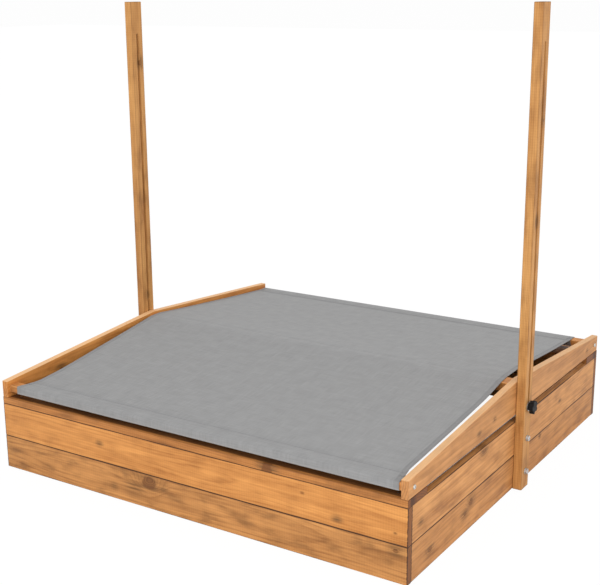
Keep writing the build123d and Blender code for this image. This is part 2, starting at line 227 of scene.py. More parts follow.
@dataclass(frozen=True)
class StainedPine:
    """Planed pine under a thin brown stain that was brushed on and wiped.

    The wood shows through: pale spring wood, browner summer wood, darker knots in grey clouds. End grain
    drinks the most stain, and the finish stays matt. Sizes are in millimetres, and knot_bend, knot_bend_reach
    and knot_rim are shares of a knot's radius.
    """

    early: str = "#cf8d50"
    late: str = "#9c6230"
    cloud: str = "#6c4a28"
    knot: str = "#4a2714"
    edge: str = "#3c2010"
    end: str = "#6f3c16"
    edge_cover: float = 0.95
    edge_width: float = 1.7
    edge_spread: tuple[float, float] = (0.6, 2.2)
    edge_core: float = 0.3
    end_cover: float = 0.8
    end_depth: float = 1.6
    cloudiness: float = 0.35
    ring_width: float = 5.5
    ring_tones: tuple[tuple[float, str], ...] = (
        (0.0, "#000000"), (0.5, "#3c3c3c"), (0.86, "#ffffff"), (0.98, "#000000"))
    ring_share: float = 0.11
    pith_depth: float = 34.0
    pith_side: float = 0.3
    pith_steps: tuple[float, float] = (9.0, 8.0)
    pith_lean: float = 0.03
    pith_drift: float = 26.0
    knot_stretch: float = 0.66
    knot_bend: float = 1.6
    knot_bend_reach: float = 3.0
    knot_rim: tuple[float, float] = (1.15, 0.85)
    knot_ring: float = 2.6
    knot_cover: float = 0.8
    planer_mark: float = 6.5
    planer_depth: float = 0.03
    relief: float = 0.12
    rough_early: float = 0.62
    rough_late: float = 0.48
    slope: float = 0.0
    foot_offset: float = 500.0
    # Painted shade: a dark band along one long edge of a seat's top stands in for the shadow under the
    # cloth's hem; the sign picks the edge.
    hem_shadow: float = 0.0
    hem_shadow_edge: tuple[float, float] = (8.0, 11.0)
    hem_shadow_fade: tuple[float, float] = (22.0, 40.0)

    def dress(self, node: str, lie: Lie, seed: float, knots: tuple[Knot, ...] = ()) -> None:
        """Make this board's own material and put it on.

        Args:
            node: Name of the board's CAD node.
            lie: How the board lies.
            seed: Number that picks this board's own stretch of the patterns.
            knots: Its knots and smudges.
        """
        board = Board(node, lie, seed)
        add = board.shader.add
        radius, eye, halo = self.grow(board, knots)
        ring = add("Math", add("Math", radius, self.ring_width, operation="DIVIDE"), operation="FRACT")
        ring = add("ValToRGB", ring, stops=self.ring_tones)
        planed = add("Math", add("Math", board.along, FULL_TURN / self.planer_mark, operation="MULTIPLY"),
                     operation="SINE")
        depth = add("Math", ring, self.ring_share, operation="MULTIPLY")
        for name, fleck in FLECKS.items():
            if fleck.share:
                depth = add("Math", board.flecks[name], fleck.share, depth, operation="MULTIPLY_ADD")
        depth = add("Math", planed, self.planer_depth / 2, depth, operation="MULTIPLY_ADD")

        wood = add("ValToRGB", depth, stops=[(0.54, self.early), (0.92, self.late)])
        wood = self.cloud_over(board, wood, halo)
        if eye:
            wood = self.set_knots(board, wood, radius, eye)
        wood = self.stain_rims(board, wood, ring)
        # Painted shadow of the gap under the cloth's hem.
        if self.hem_shadow:
            wood = self.paint_hem_shadow(board, wood)

        rough = add("MapRange", depth, 0.5, 1.0, self.rough_early, self.rough_late)
        height = add("Math", ring, 0.5, operation="MULTIPLY")
        for part, share in ((board.flecks["fibre"], 0.8), (board.flecks["streak"], 1.4),
                            (planed, self.planer_depth * 4)):
            height = add("Math", part, share, height, operation="MULTIPLY_ADD")
        relief = add("Bump", sockets={"Strength": 0.55, "Distance": self.relief * MM, "Height": height})
        paint(node, board.shader.close(add("BsdfPrincipled", sockets={
            "Base Color": wood, "Roughness": rough, "Specular IOR Level": 0.3, "Normal": relief})))

    def grow(self, board: Board, knots: tuple[Knot, ...]) -> tuple[Input, Input, Input]:
        """Measure the distance from the tree's pith, which runs behind the board and drifts.

        Args:
            board: The board.
            knots: Its knots and smudges.

        Returns:
            The distance, bent round each knot, then the mask of the knots and that of the clouds round them,
            or None where there are none.
        """
        add = board.shader.add
        aside = (board.seed % 3) * self.pith_steps[0] - board.half[1] * self.pith_side
        behind = -board.half[2] - self.pith_depth - (board.seed % 5) * self.pith_steps[1]
        pith = (0.0, aside, behind)
        spoke = add("VectorMath", board.local, pith, operation="SUBTRACT")
        spoke = add("VectorMath", spoke, (self.pith_lean, 1, 1), operation="MULTIPLY")
        radius = add("VectorMath", spoke, operation="LENGTH").outputs["Value"]
        radius = add("Math", board.flecks["drift"], self.pith_drift, radius, operation="MULTIPLY_ADD")

        eye = halo = None
        for knot in knots:
            gap = add("VectorMath", board.local, (knot.along, knot.across, 0), operation="SUBTRACT")
            gap = add("VectorMath", gap, (self.knot_stretch, 1, 0), operation="MULTIPLY")
            gap = add("VectorMath", gap, operation="LENGTH").outputs["Value"]
            ragged = add("Math", board.flecks["patch"], -0.5, operation="ADD")
            gap = add("Math", ragged, knot.cloud * 0.5, gap, operation="MULTIPLY_ADD")
            if knot.radius:
                bend = add("MapRange", gap, knot.radius * self.knot_bend_reach, 0.0, 0.0,
                           knot.radius * self.knot_bend, interpolation_type="SMOOTHSTEP")
                radius = add("Math", radius, bend, operation="ADD")
                outer, inner = [knot.radius * share for share in self.knot_rim]
                core = add("MapRange", gap, outer, inner, 0.0, 1.0, interpolation_type="SMOOTHSTEP")
                eye = add("Math", eye, core, operation="MAXIMUM") if eye else core
            shade = add("MapRange", gap, knot.cloud, knot.radius * 0.6, 0.0, 1.0,
                        interpolation_type="SMOOTHSTEP")
            halo = add("Math", halo, shade, operation="MAXIMUM") if halo else shade
        return radius, eye, halo

    def cloud_over(self, board: Board, wood: Input, halo: Input) -> bpy.types.Node:
        """Grey the wood in patches and round its knots.

        Args:
            board: The board.
            wood: Colour so far.
            halo: Mask of the clouds round the knots, or None.

        Returns:
            The new colour.
        """
        add = board.shader.add
        smoke = add("MapRange", board.flecks["patch"], 0.5, 0.74, 0.0, self.cloudiness,
                    interpolation_type="SMOOTHSTEP")
        if halo:
            broken = add("MapRange", board.flecks["streak"], 0.38, 0.62, 0.3, 0.95)
            shadow = add("Math", broken, halo, operation="MULTIPLY")
            smoke = add("Math", smoke, shadow, operation="MAXIMUM")
        return add("MixRGB", smoke, wood, linear(self.cloud))

    def set_knots(self, board: Board, wood: Input, radius: Input, eye: Input) -> bpy.types.Node:
        """Colour the knots, with fine rings of their own.

        Args:
            board: The board.
            wood: Colour so far.
            radius: Distance from the pith.
            eye: Mask of the knots.

        Returns:
            The new colour.
        """
        add = board.shader.add
        rim = add("Math", add("Math", radius, self.knot_ring, operation="DIVIDE"), operation="FRACT")
        heart = add("MixRGB", add("MapRange", rim, 0.0, 1.0, 0.1, 0.9), linear(self.knot), linear(self.late))
        return add("MixRGB", add("Math", eye, self.knot_cover, operation="MULTIPLY"), wood, heart)

    def stain_rims(self, board: Board, wood: Input, ring: Input) -> bpy.types.Node:
        """Stain the end grain and colour the board's edges. A sloped board shows only its top edge.

        Args:
            board: The board.
            wood: Colour so far.
            ring: Tone of the rings.

        Returns:
            The new colour.
        """
        add = board.shader.add
        reach = add("Math", board.along, operation="ABSOLUTE")
        crown = add("Math", reach, self.slope, board.across, operation="MULTIPLY_ADD")
        to_top = add("Math", board.half[1], crown, operation="SUBTRACT")
        foot = board.half[1] + (self.foot_offset if self.slope else 0.0)
        to_foot = add("Math", board.across, foot, operation="ADD")
        to_rim = add("Math", to_top, to_foot, operation="MINIMUM")
        to_end = add("Math", board.half[0], reach, operation="SUBTRACT")
        to_edge = to_rim
        if not self.slope:
            to_face = add("Math", board.half[2], add("Math", board.through, operation="ABSOLUTE"),
                          operation="SUBTRACT")
            nearer = add("Math", to_rim, to_end, operation="MINIMUM")
            further = add("Math", add("Math", to_rim, to_end, operation="MAXIMUM"), to_face,
                          operation="MINIMUM")
            to_edge = add("Math", nearer, further, operation="MAXIMUM")

        end_grain = add("MapRange", to_end, self.end_depth, 0.3, 0.0, self.end_cover,
                        interpolation_type="SMOOTHSTEP")
        wood = add("MixRGB", end_grain, wood, add("MixRGB", ring, linear(self.end), linear(self.knot)))
        thin, thick = [self.edge_width * share for share in self.edge_spread]
        ragged = add("MapRange", board.flecks["streak"], 0.3, 0.7, thin, thick)
        core = add("Math", ragged, self.edge_core, operation="MULTIPLY")
        line_tone = add("MapRange", to_edge, ragged, core, 0.0, self.edge_cover, interpolation_type="SMOOTHSTEP")
        return add("MixRGB", line_tone, wood, linear(self.edge))

    def paint_hem_shadow(self, board: Board, wood: Input) -> bpy.types.Node:
        """Darken a band inside one long edge as painted shade, so that the gap below the cloth looks dark
        enough.

        The band is painted shadow, not a mark of the wood, and it stays on the seat when the cover lifts.

        Args:
            board: The board.
            wood: Colour so far.

        Returns:
            The new colour.
        """
        add = board.shader.add
        inward = add("Math", board.across, math.copysign(1.0, self.hem_shadow), operation="MULTIPLY")
        (start, full), (fade, clean) = [
            [place - board.half[1] for place in places] for places in (self.hem_shadow_edge, self.hem_shadow_fade)]
        band = add("MapRange", inward, start, full, 0.0, abs(self.hem_shadow))
        band = add("Math", band, add("MapRange", inward, fade, clean, 1.0, 0.0), operation="MULTIPLY")
        return add("MixRGB", band, wood, linear(self.edge))


@dataclass(frozen=True)
class ZincPlate:
    """Bright zinc plating on pressed and turned steel: a cool silver, cloudy, with fine tool marks.

    Sizes are in millimetres. The marks are 0.35 mm apart, coarser than real ones, so that they show.
    """

    name: str
    bright: str = "#d3d6d9"
    dull: str = "#a5aaae"
    spangle: float = 2.5
    tool_mark: float = 0.35
    tool_depth: float = 0.05
    rough_dull: float = 0.42
    rough_bright: float = 0.26

    def build(self) -> bpy.types.Material:
        """Make the plating.

        Returns:
            The finished material.
        """
        shader = Shader(self.name)
        place = shader.add("TexCoord").outputs["Object"]
        cloud = shader.add("TexNoise", sockets={
            "Vector": place, "Scale": 1 / (self.spangle * MM), "Detail": 3.0})
        marks = shader.add("TexNoise", sockets={"Vector": place, "Scale": 1 / (self.tool_mark * MM)})
        colour = shader.add("ValToRGB", cloud, stops=[(0.35, self.dull), (0.62, self.bright)])
        rough = shader.add("MapRange", cloud, 0.3, 0.7, self.rough_dull, self.rough_bright)
        relief = shader.add("Bump", sockets={
            "Strength": 0.3, "Distance": self.tool_depth * MM, "Height": marks})
        return shader.close(shader.add("BsdfPrincipled", sockets={
            "Base Color": colour, "Metallic": 1.0, "Roughness": rough, "Normal": relief}))


@dataclass(frozen=True)
class MouldedNylon:
    """Black glass-filled nylon, moulded in a spark-eroded tool: satin, with a fine even pebble.

    Sizes are in millimetres. Hands polish it in patches.
    """

    name: str = "moulded_nylon"
    base: str = "#070708"
    worn: str = "#101113"
    pebble: float = 0.6
    pebble_depth: float = 0.06
    patch: float = 9.0
    rough_base: float = 0.62
    rough_worn: float = 0.5

    def build(self) -> bpy.types.Material:
        """Make the plastic.

        Returns:
            The finished material.
        """
        shader = Shader(self.name)
        place = shader.add("TexCoord").outputs["Object"]
        grit = shader.add("TexVoronoi", sockets={"Vector": place, "Scale": 1 / (self.pebble * MM)})
        hands = shader.add("TexNoise", sockets={
            "Vector": place, "Scale": 1 / (self.patch * MM), "Detail": 3.0})
        colour = shader.add("ValToRGB", hands, stops=[(0.42, self.base), (0.7, self.worn)])
        rough = shader.add("MapRange", hands, 0.35, 0.7, self.rough_base, self.rough_worn)
        relief = shader.add("Bump", sockets={
            "Strength": 0.25, "Distance": self.pebble_depth * MM, "Height": grit})
        return shader.close(shader.add("BsdfPrincipled", sockets={
            "Base Color": colour, "Roughness": rough, "Specular IOR Level": 0.25, "Normal": relief}))


@dataclass(frozen=True)
class TurnedBrass:
    """Free-cutting brass, turned on a lathe: warm yellow with fine rings round the thread's axis.

    Sizes are in millimetres. Along X the noise repeats at the ring width, and across it hardly changes.
    """

    name: str = "turned_brass"
    bright: str = "#d8b765"
    dull: str = "#a8843f"
    tarnish: float = 3.0
    ring: float = 0.5
    ring_length: float = 50.0
    ring_depth: float = 0.05

    def build(self) -> bpy.types.Material:
        """Make the brass.

        Returns:
            The finished material.
        """
        shader = Shader(self.name)
        place = shader.add("TexCoord").outputs["Object"]
        cloud = shader.add("TexNoise", sockets={
            "Vector": place, "Scale": 1 / (self.tarnish * MM), "Detail": 2.0})
        scale = [1 / (size * MM) for size in (self.ring, self.ring_length, self.ring_length)]
        rings = shader.add("TexNoise", sockets={
            "Vector": shader.add("Mapping", place, None, None, scale), "Scale": 1.0})
        colour = shader.add("ValToRGB", cloud, stops=[(0.3, self.dull), (0.65, self.bright)])
        relief = shader.add("Bump", sockets={
            "Strength": 0.3, "Distance": self.ring_depth * MM, "Height": rings})
        return shader.close(shader.add("BsdfPrincipled", sockets={
            "Base Color": colour, "Metallic": 1.0, "Roughness": 0.32, "Normal": relief}))


@dataclass(frozen=True)
class CoatedOxford:
    """Grey polyester oxford, plain woven from thick yarns and coated below: matt, dry and slightly mottled.

    Its yarns are 0.5 mm apart. The weave is drawn at 1.6 mm so that it still shows from a step away. Sizes
    are in millimetres.
    """

    name: str = "coated_oxford"
    shade: str = "#838383"
    light: str = "#929292"
    line_tone: str = "#9a9a9a"
    shadow: str = "#6f6f70"
    yarn: float = 1.6
    slub_width: float = 3.0
    slub_length: float = 60.0
    mottle: float = 34.0
    weave_depth: float = 0.15
    hem: tuple[float, float] = (15.0, 13.0)
    hem_shade: float = 0.3
    seam: tuple[float, float] = (14.0, 4.0)
    fold: tuple[float, float] = (9.0, 2.0)

    def build(self, folds: dict[float, float], seams: dict[float, float]) -> bpy.types.Material:
        """Make the cloth.

        Args:
            folds: Distance along the cloth, in metres, to each fold drawn paler, and how pale.
            seams: Distance along the cloth, in metres, to each seam, and how dark it looks.

        Returns:
            The finished material.
        """
        shader = Shader(self.name)
        add = shader.add
        flat = add("UVMap", uv_map="cloth")
        across, along, _ = add("SeparateXYZ", flat).outputs
        turn = FULL_TURN / (self.yarn * MM)
        warp, weft = [add("Math", add("Math", way, turn, operation="MULTIPLY"), operation="SINE")
                      for way in (across, along)]
        weave = add("Math", warp, weft, operation="MULTIPLY")

        short, long = 1 / (self.slub_width * MM), 1 / (self.slub_length * MM)
        slubs = [add("TexNoise", sockets={
            "Vector": add("Mapping", flat, None, None, scale), "Scale": 1.0, "Detail": 3.0})
            for scale in ((short, long, 1.0), (long, short, 1.0))]
        slub = add("Math", *slubs, operation="ADD")
        mottle = add("TexNoise", sockets={"Vector": flat, "Scale": 1 / (self.mottle * MM), "Detail": 4.0})
        tone = add("Math", slub, 0.5, operation="MULTIPLY")
        for part, share in ((mottle, 0.35), (weave, 0.03)):
            tone = add("Math", part, share, tone, operation="MULTIPLY_ADD")
        colour = add("ValToRGB", tone, stops=[(0.5, self.shade), (0.86, self.light)])

        # Painted shade: the hems and the lines along the seams are darkened towards the shadow grey.
        hem = add("Attribute", attribute_name="hem_distance").outputs["Fac"]
        seam_and_hem_shade = add("MapRange", hem, self.hem[0] * MM, self.hem[1] * MM, 0.0, self.hem_shade,
                      interpolation_type="SMOOTHSTEP")
        for place, strength in seams.items():
            line = self.draw_line(shader, along, place, self.seam, strength)
            seam_and_hem_shade = add("Math", seam_and_hem_shade, line, operation="MAXIMUM")
        colour = add("MixRGB", seam_and_hem_shade, colour, linear(self.shadow))
        # Paler lines drawn along the ridge and along the lower outer edges of the front and rear bars.
        for place, strength in folds.items():
            line = self.draw_line(shader, along, place, self.fold, strength)
            colour = add("MixRGB", line, colour, linear(self.line_tone))

        height = add("Math", weave, 0.5, slub, operation="MULTIPLY_ADD")
        relief = add("Bump", sockets={"Strength": 0.5, "Distance": self.weave_depth * MM, "Height": height})
        return shader.close(add("BsdfPrincipled", sockets={
            "Base Color": colour, "Roughness": 0.82, "Specular IOR Level": 0.25, "Sheen Weight": 0.12,
            "Sheen Roughness": 0.5, "Normal": relief}))

    def draw_line(self, shader: Shader, along: Input, place: float, reach: tuple[float, float],
                  strength: float) -> bpy.types.Node:
        """Mask a line that runs across the cloth.

        Args:
            shader: The cloth's material.
            along: Distance along the cloth in metres.
            place: Where the line is, in metres.
            reach: Millimetres from the line at which the mask is empty and full.
            strength: Its value where it is full.

        Returns:
            The mask.
        """
        gap = shader.add("Math", along, place, operation="SUBTRACT")
        gap = shader.add("Math", gap, operation="ABSOLUTE")
        return shader.add("MapRange", gap, reach[0] * MM, reach[1] * MM, 0.0, strength,
                          interpolation_type="SMOOTHSTEP")


@dataclass(frozen=True)
class TwistedThread:
    """Grey bonded polyester sewing thread of three twisted plies, a little darker than the cloth.

    Sizes are in millimetres.
    """

    name: str = "twisted_thread"
    dark: str = "#6a6a6c"
    light: str = "#828284"
    ply: float = 0.9
    ply_depth: float = 0.1

    def build(self) -> bpy.types.Material:
        """Make the thread.

        Returns:
            The finished material.
        """
        shader = Shader(self.name)
        place = shader.add("TexCoord").outputs["Object"]
        plies = shader.add("TexNoise", sockets={"Vector": place, "Scale": 1 / (self.ply * MM), "Detail": 2.0})
        colour = shader.add("ValToRGB", plies, stops=[(0.35, self.dark), (0.65, self.light)])
        relief = shader.add("Bump", sockets={
            "Strength": 0.4, "Distance": self.ply_depth * MM, "Height": plies})
        return shader.close(shader.add("BsdfPrincipled", sockets={
            "Base Color": colour, "Roughness": 0.6, "Normal": relief}))


@dataclass(frozen=True)
class PlankBox:
    """The walls of two planks, the seats on the front and rear walls and the blocks in the corners."""

    upper: StainedPine = StainedPine(early="#db9852", late="#a86a30", cloudiness=0.1, planer_depth=0.035)
    lower: StainedPine = StainedPine(early="#cd9153", late="#8e5c2e", cloudiness=0.45)
    side_upper: StainedPine = StainedPine(early="#d99d61", late="#a26a37", cloudiness=0.2)
    side_lower: StainedPine = StainedPine(early="#ce9359", late="#986232", cloudiness=0.25)
    # The seats carry a painted shadow band where the cloth's hem shades them.
    seat: StainedPine = StainedPine(early="#c08043", late="#885222", cloudiness=0.3, edge_cover=0.3,
                                    hem_shadow=0.75)
    block: StainedPine = StainedPine()
    first_block_seed: int = 11

    def dress(self) -> None:
        """Dress every board of the box."""
        self.upper.dress("front_plank_upper", Lie.FRONT_WALL, 1, (
            Knot(426, -23, 0, 16), Knot(336, 16, 2, 6), Knot(570, -19, 2, 6), Knot(-266, 2, 0, 14)))
        self.lower.dress("front_plank_lower", Lie.FRONT_WALL, 2, (
            Knot(-109, 24, 15, 34), Knot(-152, 0, 0, 38), Knot(-64, 20, 0, 18), Knot(-223, -12, 0, 16),
            Knot(571, 30, 3, 24)))
        self.upper.dress("rear_plank_upper", Lie.FRONT_WALL, 3, (
            Knot(-310, 12, 8, 30), Knot(220, -18, 0, 30)))
        self.lower.dress("rear_plank_lower", Lie.FRONT_WALL, 4, (
            Knot(80, -10, 10, 36), Knot(470, 20, 6, 26)))
        self.side_upper.dress("right_plank_upper", Lie.SIDE_WALL, 5, (
            Knot(-210, 34, 8, 26), Knot(-540, -11, 0, 16), Knot(300, 0, 3, 12)))
        self.side_lower.dress("right_plank_lower", Lie.SIDE_WALL, 6, (
            Knot(-279, 22, 8, 26), Knot(-310, 2, 5, 26), Knot(-494, -8, 7, 26), Knot(159, 36, 3, 12)))
        self.side_upper.dress("left_plank_upper", Lie.SIDE_WALL, 7, (
            Knot(140, 16, 8, 30), Knot(-420, -14, 5, 24)))
        self.side_lower.dress("left_plank_lower", Lie.SIDE_WALL, 8, (
            Knot(-80, -20, 9, 34), Knot(380, 12, 6, 26)))
        self.seat.dress("front_seat", Lie.LEVEL, 9, (Knot(242, -40, 8, 30), Knot(-330, 14, 7, 30)))
        # The rear seat's painted shadow band lies along its other long edge.
        rear = replace(self.seat, hem_shadow=-self.seat.hem_shadow)
        rear.dress("rear_seat", Lie.LEVEL, 10, (Knot(-120, 18, 8, 32), Knot(410, -10, 6, 24)))
        for number, corner in enumerate(("front_left", "front_right", "rear_left", "rear_right")):
            self.block.dress(f"{corner}_corner_block", Lie.UPRIGHT, self.first_block_seed + number)


@dataclass(frozen=True)
class SlottedPosts:
    """The two uprights with the long slots that the clamp bolts run in."""

    pine: StainedPine = StainedPine(early="#cf9859", late="#9a6430", cloudiness=0.25, ring_width=4.5,
                                    edge_cover=0.35, end_cover=0.4)

    def dress(self) -> None:
        """Dress both posts."""
        self.pine.dress("left_post", Lie.UPRIGHT, 21, (Knot(430, 6, 5, 22), Knot(-260, -4, 3, 16)))
        self.pine.dress("right_post", Lie.UPRIGHT, 24, (Knot(90, -3, 4, 20), Knot(330, 8, 3, 16)))


@dataclass(frozen=True)
class CoverFrame:
    """The gable boards and bars that the fabric is stretched on. The gables' top edges and the bars' edges
    are coloured pale.

    A gable board's top falls 46 mm over its 600 mm from the middle to either end.
    """

    right: StainedPine = StainedPine(
        early="#d0965e", late="#a26c3a", cloudiness=0.15, edge="#f0c796", edge_cover=0.42, edge_width=1.3,
        end="#a86a34", end_cover=0.35, slope=46 / 600)
    left: StainedPine = replace(right, early="#dc964e", late="#ae6a30", edge_cover=0.62)
    bar: StainedPine = StainedPine(early="#d8924e", late="#a86c36", edge="#e6b27a", edge_cover=0.4,
                                   ring_width=4.0)
    first_bar_seed: int = 33

    def dress(self) -> None:
        """Dress the gable boards and the bars."""
        self.right.dress("right_gable", Lie.SIDE_WALL, 31, (
            Knot(-153, -14, 2.5, 12), Knot(-241, -20, 0, 14), Knot(512, -24, 3, 12)))
        self.left.dress("left_gable", Lie.SIDE_WALL, 32, (Knot(-400, -22, 5, 24), Knot(200, -8, 4, 20)))
        for number, name in enumerate(("front_bar", "middle_bar", "rear_bar")):
            self.bar.dress(name, Lie.LEVEL, self.first_bar_seed + number)


@dataclass(frozen=True)
class Hardware:
    """Bolts, nuts, washers, screws, star knobs and their inserts."""

    bolts: ZincPlate = ZincPlate("zinc_plated_bolts")
    screws: ZincPlate = ZincPlate("zinc_plated_screws", bright="#dcdcd8", dull="#b3b2ac", spangle=1.5)
    knobs: MouldedNylon = MouldedNylon()
    inserts: TurnedBrass = TurnedBrass()

    def dress(self) -> None:
        """Dress every piece of hardware by the finish that its name calls for."""
        finishes = dict.fromkeys(("bolts", "bolt", "nuts", "washers"), self.bolts.build())
        finishes["screws"] = self.screws.build()
        finishes["knob"] = self.knobs.build()
        finishes["insert"] = self.inserts.build()
        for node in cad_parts:
            kind = node.rsplit("_", 1)[-1]
            if kind in finishes:
                paint(node, finishes[kind])


@dataclass(frozen=True)
class Row:
    """One line across the cloth: its place, how much it may sag, and whether it is part of a sleeve."""

    y: float
    z: float
    slack: float
    sleeve: bool


@dataclass(frozen=True)
class Swell:
    """One layer of the cloth's faint ripples: their size in metres, their strength and their seed."""

    across: float
    along: float
    strength: float
    seed: float

    def height(self, x: float, y: float) -> float:
        """Say how high the layer is above a place, from about -1 to 1 times its strength."""
        return self.strength * noise.noise(Vector((x / self.across, y / self.along, self.seed)))


@dataclass
class FabricCover:
    """One sheet of cloth, sleeved round the front and rear bars and stretched over the middle bar.

    Its side edges are given by corners (y, x). The sheet was put on a little askew: it leans to the left
    towards the rear, and its edges draw in behind the front sleeve.
    """

    thickness: float = 0.5 * MM
    lay: float = 1.5 * MM
    width: float = 1.12
    flat: tuple[float, float] = (1.15, 1.37)
    left_edge: tuple[tuple[float, float], ...] = (
        (-0.595, -0.555), (-0.570, -0.553), (-0.540, -0.536), (-0.450, -0.538), (-0.300, -0.553),
        (0.0, -0.577), (0.595, -0.575))
    right_edge: tuple[tuple[float, float], ...] = (
        (-0.595, 0.572), (-0.572, 0.572), (-0.540, 0.563), (-0.120, 0.564), (0.015, 0.557),
        (0.139, 0.542), (0.390, 0.538), (0.595, 0.533))
    edge_easing: tuple[float, ...] = (-18 * MM, -6 * MM, 6 * MM, 18 * MM)

    sag: float = 4.0 * MM
    side_sag_loss: float = 0.4
    ripple: float = 0.45 * MM
    ripple_onset: float = 2.5
    swells: tuple[Swell, ...] = (Swell(0.16, 0.22, 1.0, 3.1), Swell(0.07, 0.12, 0.5, 8.7))

    bar_round: float = 2 * MM
    tail_gap: float = 2.0 * MM
    tail_bend: float = -25.0
    tail_margin: float = 3 * MM
    seam_near: float = 9 * MM
    seam_far: float = 28 * MM
    columns: int = 120
    slope_rows: int = 56
    ridge_rows: int = 4
    arc_steps: int = 5
    bend_step: float = 8 * MM
    crease: float = math.radians(50)

    hem_width: float = 14 * MM
    hem_shares: tuple[float, ...] = (1.0, 0.66, 0.33, 0.0)
    fold_gap: float = 0.65 * MM
    fold_angles: tuple[float, ...] = (150, 120, 90, 60, 30)

    stitch_pitch: float = 5.0 * MM
    stitch_length: float = 4.2 * MM
    stitch_width: float = 0.8 * MM
    stitch_sides: int = 6
    stitch_cut: float = 0.25
    stitch_tip: float = 0.4
    stitch_taper: float = 0.55
    stitch_dip: float = 0.45 * MM
    stitch_sink: float = 0.2
    zigzag: float = math.radians(38)
    zigzag_start: float = 4 * MM
    hem_pitch_share: float = 1.1
    hem_heading_share: float = 0.6
    hem_stitch_inset: float = 3.5 * MM

    lip_reach: float = 1 * MM
    # How much paler the cloth is drawn along the ridge and the bars' lower outer edges, and how much painted
    # shade darkens the seams.
    ridge_pale_line: float = 0.18
    front_pale_line: float = 0.9
    rear_pale_line: float = 0.5
    front_seam_shade: float = 0.12
    rear_seam_shade: float = 0.5

    front_low: Vector = field(init=False)
    front_high: Vector = field(init=False)
    ridge_low: Vector = field(init=False)
    ridge_high: Vector = field(init=False)
    rows: list[Row] = field(init=False)
    lengths: list[float] = field(init=False)

    def __post_init__(self) -> None:
        """Read the bars' places from the frame and lay the cloth over them."""
        self.front_low, self.front_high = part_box("front_bar")
        self.ridge_low, self.ridge_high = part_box("middle_bar")
        front_half = self.half_path()
        self.rows = front_half + [replace(row, y=-row.y) for row in reversed(front_half[:-1])]
        self.lengths = [0.0]
        for before, after in zip(self.rows, self.rows[1:]):
            step = math.hypot(after.y - before.y, after.z - before.z)
            self.lengths.append(self.lengths[-1] + step)

    def arc(self, y: float, z: float, start: float, stop: float) -> list[tuple[float, float]]:
        """Points of the cloth round a bar's corner.

        Args:
            y: Middle of the corner's round.
            z: Middle of the corner's round.
            start: Angle at which the cloth meets the round, in degrees from +Y towards +Z.
            stop: Angle at which it leaves.

        Returns:
            Points (y, z) in order.
        """
        radius = self.bar_round + self.lay
        angles = [start + (stop - start) * step / self.arc_steps for step in range(self.arc_steps + 1)]
        return [(y + radius * math.cos(math.radians(a)), z + radius * math.sin(math.radians(a)))
                for a in angles]

    def half_path(self) -> list[Row]:
        """Lay the cloth from the end of its front tail, round the front bar and up to the ridge.

        Returns:
            The rows of the front half, the last one in the middle of the ridge.
        """
        low, high, r = self.front_low, self.front_high, self.bar_round
        start_y, start_z = high.y - r, high.z + self.lay
        end_y, end_z = self.ridge_low.y + r, self.ridge_high.z + self.lay
        rise = math.degrees(math.atan2(end_z - start_z, end_y - start_y))
        sleeve = []
        for reach in (self.seam_far, (self.seam_far + self.seam_near) / 2, self.seam_near):
            y = high.y + reach
            height = start_z + (y - start_y) * math.tan(math.radians(rise))
            sleeve.append((y, height - self.tail_gap))
        sleeve += self.arc(high.y - r, low.z + r, self.tail_bend, -90)
        sleeve += self.arc(low.y + r, low.z + r, -90, -180)
        sleeve += self.arc(low.y + r, high.z - r, 180, 90)
        sleeve += self.arc(high.y - r, high.z - r, 90, 90 + rise)
        rows = [Row(y, z, 0.0, True) for y, z in self.densify(sleeve)]
        for step in range(1, self.slope_rows + 1):
            share = step / self.slope_rows
            y = start_y + (end_y - start_y) * share
            z = start_z + (end_z - start_z) * share
            rows.append(Row(y, z, 4 * share * (1 - share), False))
        rows += [Row(end_y * (1 - step / self.ridge_rows), end_z, 0.0, False)
                 for step in range(1, self.ridge_rows + 1)]
        return rows

    def densify(self, points: list[tuple[float, float]]) -> list[tuple[float, float]]:
        """Add points on the straight stretches round a bar.

        Args:
            points: The points that the shape needs.

        Returns:
            The same path with no step over the bend step.
        """
        path = [points[0]]
        for (y0, z0), (y1, z1) in zip(points, points[1:]):
            count = max(1, math.ceil(math.hypot(y1 - y0, z1 - z0) / self.bend_step))
            path += [(y0 + (y1 - y0) * k / count, z0 + (z1 - z0) * k / count) for k in range(1, count + 1)]
        return path

    def reach(self, row: Row) -> tuple[float, float]:
        """Where the cloth's side edges are, with their corners blunted.

        Args:
            row: The row asked about.

        Returns:
            Left and right edge, in metres along X.
        """
        edges = []
        for corners in (self.left_edge, self.right_edge):
            total = 0.0
            for shift in self.edge_easing:
                y = min(max(row.y + shift, corners[0][0]), corners[-1][0])
                for (y0, x0), (y1, x1) in zip(corners, corners[1:]):
                    if y0 <= y <= y1:
                        total += (x0 + (x1 - x0) * (y - y0) / (y1 - y0)) / len(self.edge_easing)
                        break
            edges.append(total)
        return edges[0], edges[1]

    def place(self, row: Row, x: float) -> Vector:
        """Where a point of the cloth's middle surface is.

        Args:
            row: The row that it is on.
            x: Its place across the cloth.

        Returns:
            The point, with the sag and the faint ripples of the slopes.
        """
        if row.sleeve or not row.slack:
            return Vector((x, row.y, row.z))
        belly = self.sag * row.slack * (1 - self.side_sag_loss * (2 * x / self.width) ** 2)
        swell = sum(layer.height(x, row.y) for layer in self.swells)
        onset = min(1.0, row.slack * self.ripple_onset)
        return Vector((x, row.y, row.z - belly + self.ripple * swell * onset))

